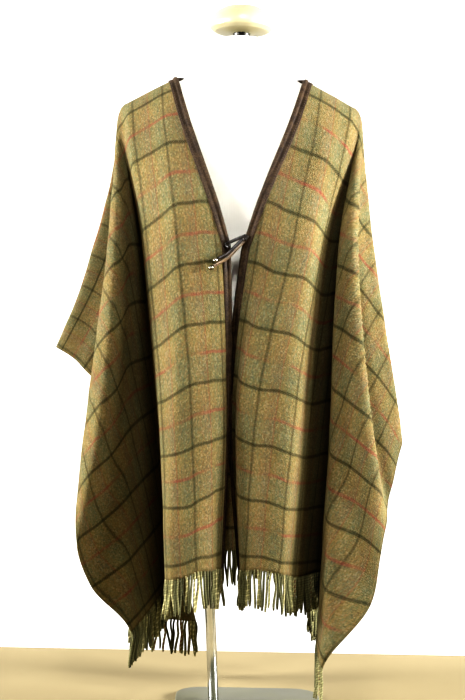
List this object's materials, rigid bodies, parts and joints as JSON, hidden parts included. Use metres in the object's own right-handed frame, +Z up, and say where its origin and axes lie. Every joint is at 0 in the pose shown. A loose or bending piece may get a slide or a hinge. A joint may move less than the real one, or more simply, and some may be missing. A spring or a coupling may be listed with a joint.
{
  "type": "blanket poncho on a dress form",
  "caption": "Checked tweed blanket poncho, open down the front with a bound V neck, a lace tie and a fringed hem, draped on a limbless dress form on a pole and flat base.",
  "frame": {"origin": "on the floor under the middle of the neck, in the underside of the base", "axes": "+Z up; the poncho's open front faces -Y; +X is to the right of a viewer who faces the front"},
  "size_m": [0.6211, 0.4036, 1.2673],
  "materials": {
    "tweed": "woven wool tweed, matt",
    "yarn": "twisted wool, matt",
    "leather": "dark brown, satin",
    "tip": "polished",
    "form": "plain white jersey, matt",
    "cap": "satin",
    "pole": "polished",
    "base": "satin"
  },
  "bodies": {
    "root": {"front_left": "tweed", "front_right": "tweed", "back": "tweed", "fringe_front_left": "yarn", "fringe_front_right": "yarn", "fringe_back": "yarn", "binding_left": "leather", "binding_right": "leather", "binding_back": "leather", "knot_left": "leather", "knot_right": "leather", "lace_upper": "leather", "lace_long": "leather", "lace_short": "leather", "tip_long": "tip", "tip_short": "tip", "torso": "form", "neck_cap": "cap", "pole": "pole", "base": "base"}
  },
  "joints": []
}
